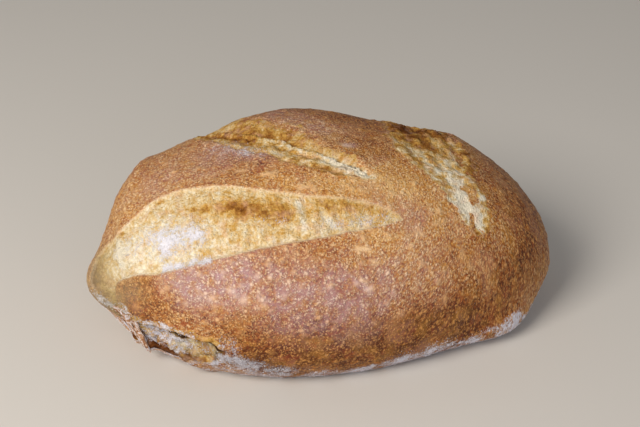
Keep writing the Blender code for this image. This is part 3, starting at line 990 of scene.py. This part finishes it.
    def blister_domes(self, points: np.ndarray, inward: np.ndarray) -> np.ndarray:
        """Raise the larger gas blisters on the browned skin.

        Args:
            points: The skin's places, in metres.
            inward: How far each place lies inside a score, in millimetres.

        Returns:
            The blisters' rise, from 0 to 1.
        """
        draw = np.random.default_rng(self.seed)
        tree = KDTree(len(points))
        for index, point in enumerate(points):
            tree.insert(point, index)
        tree.balance()
        domes = np.zeros(len(points))
        least, most = self.blister_radius
        for index in draw.integers(0, len(points), self.blisters):
            radius = draw.triangular(least, least, most)
            if inward[index] > -radius:
                continue
            for _, near, gap in tree.find_range(points[index], radius * MM):
                dome = (1.0 - (gap / (radius * MM)) ** 2) * radius / most
                domes[near] = max(domes[near], dome)
        return domes

    def tears(self, chart: np.ndarray) -> dict[str, np.ndarray]:
        """Work out the scores' painted values at the chart points.

        Args:
            chart: The points on the crust chart.

        Returns:
            inward, how far each lies inside a score in millimetres, and open, rim, toast and tear.
        """
        count = len(chart)
        found = {"inward": np.full(count, -99.0), "open": np.zeros(count), "rim": np.zeros(count),
                 "toast": np.zeros(count), "tear": np.zeros((count, 3))}
        for number, score in enumerate(self.form.scores):
            share, offset, half = score.spread(chart)
            inward = half - np.abs(offset)
            fade = np.where(offset < 0, score.fades[Side.FRONT], score.fades[Side.BACK])
            mine = inward > found["inward"]
            line = bell(inward - self.cut_line_inset, self.cut_line_width)
            line *= self.cut_line * np.minimum(1.0 / fade, 1.0) * smooth_step(share / 0.2)
            found["inward"] = np.where(mine, inward, found["inward"])
            frayed = score.broken * lumpy(chart, score.frayed, score.seed)
            found["open"] = np.maximum(found["open"], smooth_step(0.5 + inward / (2 * fade) + frayed))
            found["rim"] = np.maximum(found["rim"], line * np.minimum(half / 6.0, 1.0))
            browned = score.toasted(chart, score.across(share, offset, half))
            found["toast"] = np.where(mine, browned, found["toast"])
            apart = np.full(count, self.tear_apart * number)
            row = np.column_stack([share * self.tear_length, offset, apart])
            found["tear"] = np.where(mine[:, None], row, found["tear"])
        return found

    def fine_relief(self, places: np.ndarray, opened: np.ndarray, tear: np.ndarray,
                    domes: np.ndarray) -> np.ndarray:
        """Give the relief that only the fine mesh shows, in millimetres.

        Args:
            places: The places before the cuts, in millimetres.
            opened: How far the dough is torn open, from 0 to 1.
            tear: The places along and across the scores.
            domes: The blisters' rise, from 0 to 1.

        Returns:
            One height for each place.
        """
        skin = lumpy(places, self.waves) + self.blister_rise * domes
        strands = self.strand_rise * noise(tear, self.strand_lump, 64)
        strands *= smooth_step((tear[:, 0] - self.strands_from) / self.strands_run)
        return (1.0 - opened) * skin + opened * (strands + lumpy(places, self.torn_lumps))

    def fitted(self, points: np.ndarray) -> np.ndarray:
        """Centre the places in the solid's box, and shrink them where they reach past it.

        Args:
            points: The places with all their relief, in metres.

        Returns:
            The places in the box.
        """
        low, high = (np.array(corner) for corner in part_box(NODE))
        least, most = points.min(axis=0), points.max(axis=0)
        shrink = np.minimum((high - low) / (most - least), 1.0)
        placed = (points - (most + least) / 2) * shrink + (low + high) / 2
        placed[:, 2] = points[:, 2] * min(high[2] / most[2], 1.0)
        return placed

    def build(self) -> bpy.types.Object:
        """Build the shell, paint its values and place it in the solid's box.

        Returns:
            The crust's object.
        """
        shape, directions = self.directions()
        chart = self.form.chart(directions)
        swollen = self.form.swollen(directions)
        values = self.tears(chart)
        values["blister"] = self.blister_domes(swollen, values.pop("inward"))
        relief = self.form.relief(chart, swollen)
        relief += self.fine_relief(swollen / MM, values["open"], values["tear"], values["blister"])
        relief += painted(chart, self.crags) * lumpy(swollen / MM, self.crag_lumps)
        points = swollen + self.form.normals(directions) * relief[:, None] * MM
        points[:, 2] = np.maximum(points[:, 2], 0.0)
        placed = self.fitted(points)
        for vertex, point in zip(shape.verts, placed):
            vertex.co = point
        mesh = bpy.data.meshes.new("loaf_crust")
        shape.to_mesh(mesh)
        shape.free()
        mesh.shade_smooth()
        self.paint(placed / MM, swollen / MM, chart, values)
        self.store(mesh, values)
        mesh.materials.append(self.finish.material())
        return show("loaf_crust", mesh)

    def seam_bands(self, places: np.ndarray) -> dict[str, np.ndarray]:
        """Find the parts of the torn seam that are coloured apart.

        Args:
            places: The places before the cuts, in millimetres.

        Returns:
            left, from 0 to 1 towards the seam's left end, and the pocket, the pale lip above it, the gap
            under that, which gets a painted shadow, the lower edge's rim, the toasted strip above the rim and
            the holes in the strip, which get painted shade.
        """
        upper, lower, ends = self.form.seam.edges(places)
        x, _, z = places.T
        left = smooth_step((-92.0 - x) / 8.0)
        start, end, rise, fall = self.pocket_band
        pocket = ends * band(z, lower + start, upper + end, rise, fall)
        start, end, rise, fall = self.lip_band
        lip = ends * band(z, upper + start, upper + end, rise, fall)
        start, end, rise, fall = self.gap_band
        start = start + 0.8 * left - 0.7 * noise(places, 3.5, 76)
        gap = ends * band(z, upper + start, upper + end, rise, fall) * smooth_step((x + 104.0) / 6.0)
        start, end, rise, fall = self.rim_band
        rim = ends * band(z, lower + start, lower + end, rise, fall)
        strip = pocket * (1.0 - rim) * smooth_step((lower + self.strip_height - z) / 3.0)
        strip *= 0.55 + 0.45 * left
        holes = strip * smooth_step(2.5 * noise(places, (4.5, 4.5, 2.0), 72))
        return {"left": left, "pocket": pocket, "lip": lip, "gap": gap, "rim": rim, "strip": strip,
                "holes": holes}

    def foot_flour(self, points: np.ndarray, x: np.ndarray, y: np.ndarray) -> np.ndarray:
        """Give how far flour from the baking stone whitens the foot.

        Args:
            points: The finished places, in millimetres.
            x: The places along the loaf before the cuts, in millimetres.
            y: The places across the loaf before the cuts, in millimetres.

        Returns:
            One amount for each place, a little higher towards the tail.
        """
        line = np.where(y < 0, np.interp(x, *zip(*self.flour_line)), self.back_flour_line)
        line = line * (1.0 + self.flour_line_wander * noise(points, 9.0, 71))
        tail = smooth_step((x + 20.0) / 20.0)
        return (0.50 + 0.14 * tail) * smooth_step((1.15 * line - points[:, 2]) / (0.65 * line))

    def paint(self, points: np.ndarray, places: np.ndarray, chart: np.ndarray,
              values: dict[str, np.ndarray]) -> None:
        """Add the brush strokes and the seam's colours to the painted values.

        Args:
            points: The finished places, in millimetres.
            places: The places before the cuts, in millimetres.
            chart: The places on the crust chart.
            values: The scores' painted values and the blisters, which are changed and added to.
        """
        seam = self.seam_bands(places)
        x, y, _ = places.T
        left, pocket, lip, gap, strip = (seam[name] for name in ("left", "pocket", "lip", "gap", "strip"))
        patchy = 1.0 + lumpy(points, self.patches)
        crumbly = lumpy(places, self.crumbs)
        # Painted light: the browning carries painted shade low at the front and under the foot, the bloom a
        # painted sheen, and the dull tone painted shade towards the nose and in the pocket's right part
        values["bake_and_shade"] = self.bake_level + painted(chart, self.bake_and_shade)
        values["bloom_and_sheen"] = painted(chart, self.bloom_and_sheen)
        values["blister"] = np.maximum(values["blister"], painted(chart, self.marks))
        values["dull_and_shade"] = painted(chart, self.dull_and_shade) + 0.22 * (1.0 - left) * (pocket - strip)

        # Painted shadow in the gap under the lip, painted shade in the strip's holes and over the pocket,
        # darker along thin cracks through it
        cracks = smooth_step((0.16 - np.abs(noise(places, (5.0, 5.0, 2.6), 78))) / 0.12)
        shade = np.maximum(0.80 * gap, 0.80 * seam["holes"] * left) + (0.12 + 0.22 * cracks) * pocket
        values["shade"] = np.clip(shade + painted(chart, self.shade), 0.0, 1.0)
        values["toast"] += painted(chart, self.toast) * patchy + 0.42 * strip + 0.3 * lip
        values["toast"] += pocket * (0.06 + 0.30 * left + crumbly)

        # Flour lies on the foot, on the seam's lip and rim, and in its pocket, but not in the gap's painted
        # shadow
        on_lip = (0.46 + 0.12 * left) * smooth_step((-78.0 - x) / 8.0) * lip
        brushed = painted(chart, self.flour) + self.foot_flour(points, x, y) + on_lip + 0.44 * seam["rim"]
        floured = smooth_step((self.floured_to - x) / 8.0)
        in_pocket = (0.28 + 0.22 * floured) * (pocket - strip) * (1.0 + 1.6 * crumbly)
        values["flour"] = patchy * brushed + in_pocket - gap
        torn = np.maximum(pocket, 0.7 * lip)
        values["open"] = np.maximum(values["open"] - painted(chart, self.closed), torn)

        # Texture places, drawn out down the slope towards the tail
        values["skin"] = points.copy()
        values["skin"][:, 2] *= 1.0 - self.skin_drawn_out * smooth_step((chart[:, 0] - 20.0) / 100.0)

    def store(self, mesh: bpy.types.Mesh, values: dict[str, np.ndarray]) -> None:
        """Store the painted values on the mesh, one for each corner, for the finish to read."""
        for name, value in values.items():
            kind, field_name = ("FLOAT_VECTOR", "vector") if value.ndim == 2 else ("FLOAT", "value")
            layer = mesh.attributes.new(name, kind, "POINT")
            layer.data.foreach_set(field_name, value.astype(np.float32).ravel())


@dataclass
class FootFlakes:
    """Thin torn shards of dough that hang over the seam's left end, in millimetres.

    lines are each shard's root and tip on the front of the loaf, as (x, height).
    """

    crust: bpy.types.Object
    finish: ShardFinish
    lines: tuple = (
        ((-124, 42), (-116, 22)), ((-122, 44), (-113, 26)), ((-121, 39), (-111, 15)),
        ((-118, 44), (-110, 21)), ((-117, 36), (-109, 13)), ((-116, 34), (-110, 16)),
        ((-115, 31), (-108, 11)), ((-126, 40), (-120, 24)), ((-119, 33), (-113, 17)),
    )
    steps: int = 7
    widths: tuple = (2.4, 4.4)
    thickness: float = 0.45
    lift: float = 2.2
    least_clearance: float = 0.4
    bow: float = 0.8
    taper: float = 0.85
    thinning: float = 0.6
    front: float = -20.0
    seed: int = 41

    def shard(self, shape: bmesh.types.BMesh, root: Vector, tip: Vector, out: Vector,
              draw: np.random.Generator) -> None:
        """Add one bent shard that narrows and thins towards its tip.

        Args:
            shape: The mesh that gets it.
            root: Where it starts on the crust.
            tip: Where it would end on the crust.
            out: The way out of the crust.
            draw: The random numbers for its lift, turn and width.
        """
        tip = tip + out * draw.uniform(0.4, 1.0) * self.lift * MM
        side = (tip - root).cross(out).normalized()
        side = (side + out * draw.uniform(-0.5, 0.5)).normalized()
        half = draw.uniform(*self.widths) / 2
        rings = []
        for step in range(self.steps):
            share = step / (self.steps - 1)
            width = half * (1.0 - self.taper * share**2) * draw.uniform(0.8, 1.1) * MM
            clearance = self.least_clearance + self.bow * math.sin(math.pi * share)
            middle = root.lerp(tip, share) + out * clearance * MM
            thick = out * self.thickness * (1.0 - self.thinning * share) * MM / 2
            corners = [middle + side * width + thick, middle - side * width + thick,
                       middle - side * width - thick, middle + side * width - thick]
            rings.append([shape.verts.new(corner) for corner in corners])
        for first, second in zip(rings, rings[1:]):
            for k in range(4):
                shape.faces.new((first[k], first[(k + 1) % 4], second[(k + 1) % 4], second[k]))
        shape.faces.new(rings[0][::-1])
        shape.faces.new(rings[-1])

    def build(self) -> bpy.types.Object:
        """Hang the shards on the crust's surface.

        Returns:
            The shards' object.
        """
        places, normals = vertex_rows(self.crust.data, "co"), vertex_rows(self.crust.data, "normal")
        front = np.flatnonzero(places[:, 1] < self.front * MM)
        seen = places[front][:, [0, 2]] / MM
        draw = np.random.default_rng(self.seed)
        shape = bmesh.new()
        for line in self.lines:
            ends = [front[np.argmin(np.hypot(*(seen - spot).T))] for spot in line]
            out = Vector(normals[ends[0]] + normals[ends[1]]).normalized()
            root, tip = (Vector(places[end]) for end in ends)
            self.shard(shape, root, tip, out, draw)
        bmesh.ops.recalc_face_normals(shape, faces=shape.faces[:])
        flakes = bpy.data.meshes.new("foot_flakes")
        shape.to_mesh(flakes)
        shape.free()
        flakes.materials.append(self.finish.material())
        return show("foot_flakes", flakes)


@dataclass
class FlourGrains:
    """Loose grains of flour that cling where the crust is dusted, each a small eight-faced crystal.

    Sizes are in millimetres. Real grains are under a tenth of a millimetre, so these are drawn coarser.
    """

    crust: bpy.types.Object
    finish: FlourFinish
    count: int = 7000
    radius: tuple = (0.12, 0.30)
    scatter: float = 0.8
    turn: float = 0.5
    full_flour: float = 0.7
    seed: int = 83

    def build(self) -> bpy.types.Object:
        """Scatter the grains over the crust where its flour is thick, inside the solid's box.

        Returns:
            The grains' object.
        """
        mesh = self.crust.data
        places, normals = vertex_rows(mesh, "co"), vertex_rows(mesh, "normal")
        flour = np.empty(len(places))
        mesh.attributes["flour"].data.foreach_get("value", flour)
        draw = np.random.default_rng(self.seed)
        weight = np.clip(flour, 0.0, self.full_flour) ** 2
        chosen = draw.choice(len(places), self.count, p=weight / weight.sum())
        first = unit(normals[chosen] + self.turn * draw.normal(size=(self.count, 3)))
        second = unit(np.cross(first, draw.normal(size=(self.count, 3))))
        axes = np.stack([first, second, np.cross(first, second)], axis=1)
        radii = draw.uniform(*self.radius, (self.count, 3, 1)) * MM
        slide = draw.uniform(-self.scatter, self.scatter, (self.count, 2, 1)) * MM
        middles = places[chosen] + (slide * axes[:, 1:]).sum(axis=1)
        corners = np.concatenate([middles[:, None] + radii * axes, middles[:, None] - radii * axes], axis=1)
        corners = np.clip(corners.reshape(-1, 3), *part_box(NODE))

        # Corners 0 to 2 end the axes on one side and 3 to 5 on the other, and a face has one of each axis
        sides = [(a, b, c) if (a < 3) ^ (b < 4) ^ (c < 5) else (a, c, b)
                 for a, b, c in itertools.product((0, 3), (1, 4), (2, 5))]
        faces = (np.array(sides)[None] + 6 * np.arange(self.count)[:, None, None]).reshape(-1, 3)
        grains = bpy.data.meshes.new("flour_grains")
        grains.from_pydata(corners.tolist(), [], faces.tolist())
        grains.materials.append(self.finish.material())
        return show("flour_grains", grains)


@dataclass
class Studio:
    """A plain pale floor, soft lights and the camera at the photograph's angle, in metres and degrees.

    lamps are (name, place, width and height, power in watts, colour), and centre is the lens's axis in the
    photograph, in its pixels.
    """

    paper: PaperFinish
    floor_size: float = 8.0
    floor_gap: float = 0.0002
    world_colour: str = "#F2EEE8"
    world_strength: float = 0.32
    lamps: tuple = (("window", (-0.90, -0.80, 1.00), (0.7, 0.7), 22.0, "#FFF6EA"),
                    ("front_sky", (0.1, -1.4, 0.45), (1.0, 0.6), 3.3, "#EEF0FF"))
    lamps_aim: tuple = (0.0, 0.0, 0.05)
    distance: float = 0.840
    elevation: float = 32.5
    yaw: float = 9.67
    focal_pixels: float = 1392.0
    centre: tuple = (321.85, 252.34)
    aim: tuple = (-0.0006, -0.0104, 0.042)
    sensor_mm: float = 36.0

    def floor(self) -> None:
        """Lay the pale floor just under the loaf."""
        half = self.floor_size / 2
        mesh = bpy.data.meshes.new("floor")
        corners = [(x * half, y * half, -self.floor_gap) for x, y in ((-1, -1), (1, -1), (1, 1), (-1, 1))]
        mesh.from_pydata(corners, [], [(0, 1, 2, 3)])
        mesh.materials.append(self.paper.material())
        floor = show("floor", mesh)

    def lights(self) -> None:
        """Hang the soft lights, which face the loaf, and fill in the world's light."""
        for name, place, size, power, colour in self.lamps:
            light = bpy.data.lights.new(name, "AREA")
            light.shape = "RECTANGLE"
            light.size, light.size_y = size
            light.energy = power
            light.color = linear_colour(colour)[:3]
            lamp = show(name, light)
            lamp.location = place
            lamp.rotation_euler = (Vector(self.lamps_aim) - Vector(place)).to_track_quat("-Z", "Y").to_euler()
        world = bpy.data.worlds.new("studio")
        bpy.context.scene.world = world
        world.use_nodes = True
        background = world.node_tree.nodes["Background"]
        background.inputs["Color"].default_value = linear_colour(self.world_colour)
        background.inputs["Strength"].default_value = self.world_strength

    def camera(self) -> None:
        """Set the camera where the photograph was taken from."""
        lens = bpy.data.cameras.new("camera")
        eye = show("camera", lens)
        yaw, elevation = math.radians(self.yaw), math.radians(self.elevation)
        flat = math.cos(elevation)
        back = Vector((-math.sin(yaw) * flat, -math.cos(yaw) * flat, math.sin(elevation)))
        eye.location = Vector(self.aim) + self.distance * back
        eye.rotation_euler = (math.pi / 2 - elevation, 0.0, -yaw)
        lens.sensor_width = self.sensor_mm
        lens.lens = self.focal_pixels * self.sensor_mm / PHOTO_WIDTH
        lens.shift_x = (PHOTO_WIDTH / 2 - self.centre[0]) / PHOTO_WIDTH
        lens.shift_y = (self.centre[1] - PHOTO_HEIGHT / 2) / PHOTO_WIDTH
        bpy.context.scene.camera = eye

    def build(self) -> None:
        """Set up the floor, the lights and the camera."""
        self.floor()
        self.lights()
        self.camera()
        bpy.context.scene.view_settings.view_transform = "Standard"


def main() -> None:
    """Build the loaf's pieces and the studio."""
    logging.basicConfig(level=logging.INFO, format="%(message)s")
    crust = CrustShell(LoafForm(), CrustFinish()).build()
    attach(crust, BODY)
    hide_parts(NODE)
    LOG.info("crust: %d faces", len(crust.data.polygons))
    flakes = FootFlakes(crust, ShardFinish()).build()
    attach(flakes, BODY)
    LOG.info("foot flakes: %d faces", len(flakes.data.polygons))
    grains = FlourGrains(crust, FlourFinish()).build()
    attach(grains, BODY)
    LOG.info("flour grains: %d faces", len(grains.data.polygons))
    Studio(PaperFinish()).build()


if __name__ == "__main__":
    main()
